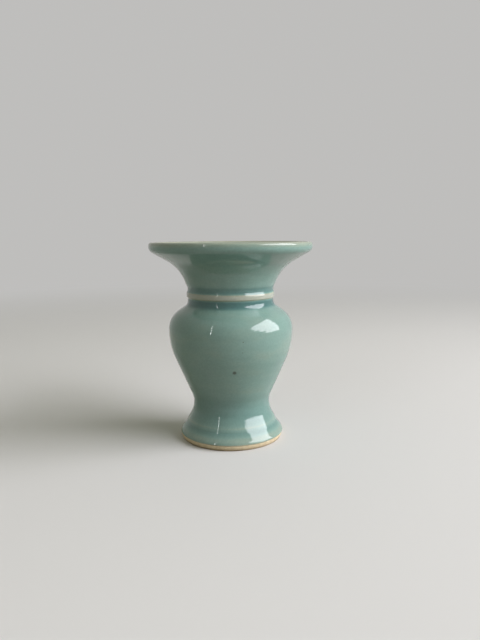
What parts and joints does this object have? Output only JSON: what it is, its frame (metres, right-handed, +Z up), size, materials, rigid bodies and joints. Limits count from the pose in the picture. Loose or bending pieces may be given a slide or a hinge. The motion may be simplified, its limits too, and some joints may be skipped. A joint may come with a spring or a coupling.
{
  "type": "porcelain vase",
  "caption": "Small celadon-glazed porcelain vase with a trumpet mouth, raised neck ring, round belly, narrow waist and splayed bare-edged foot.",
  "frame": {"origin": "middle of the foot, on the surface that the vase stands on", "axes": "+Z up the vase's turning axis, from the foot to the mouth; X and Y are level"},
  "size_m": [0.061, 0.061, 0.0746],
  "materials": {
    "bare_porcelain": "bare fired porcelain, matte, warm buff where it shows at the foot",
    "luting_slip": "fired slip, matte",
    "celadon_glaze": "glossy translucent celadon, darker where it pools and cream where it runs thin"
  },
  "bodies": {
    "root": {"foot_section": "bare_porcelain", "belly_section": "bare_porcelain", "mouth_section": "bare_porcelain", "neck_ring": "bare_porcelain", "foot_seam_slip": "luting_slip", "neck_seam_slip": "luting_slip", "outer_glaze": "celadon_glaze", "inner_glaze": "celadon_glaze", "recess_glaze": "celadon_glaze"}
  },
  "joints": []
}
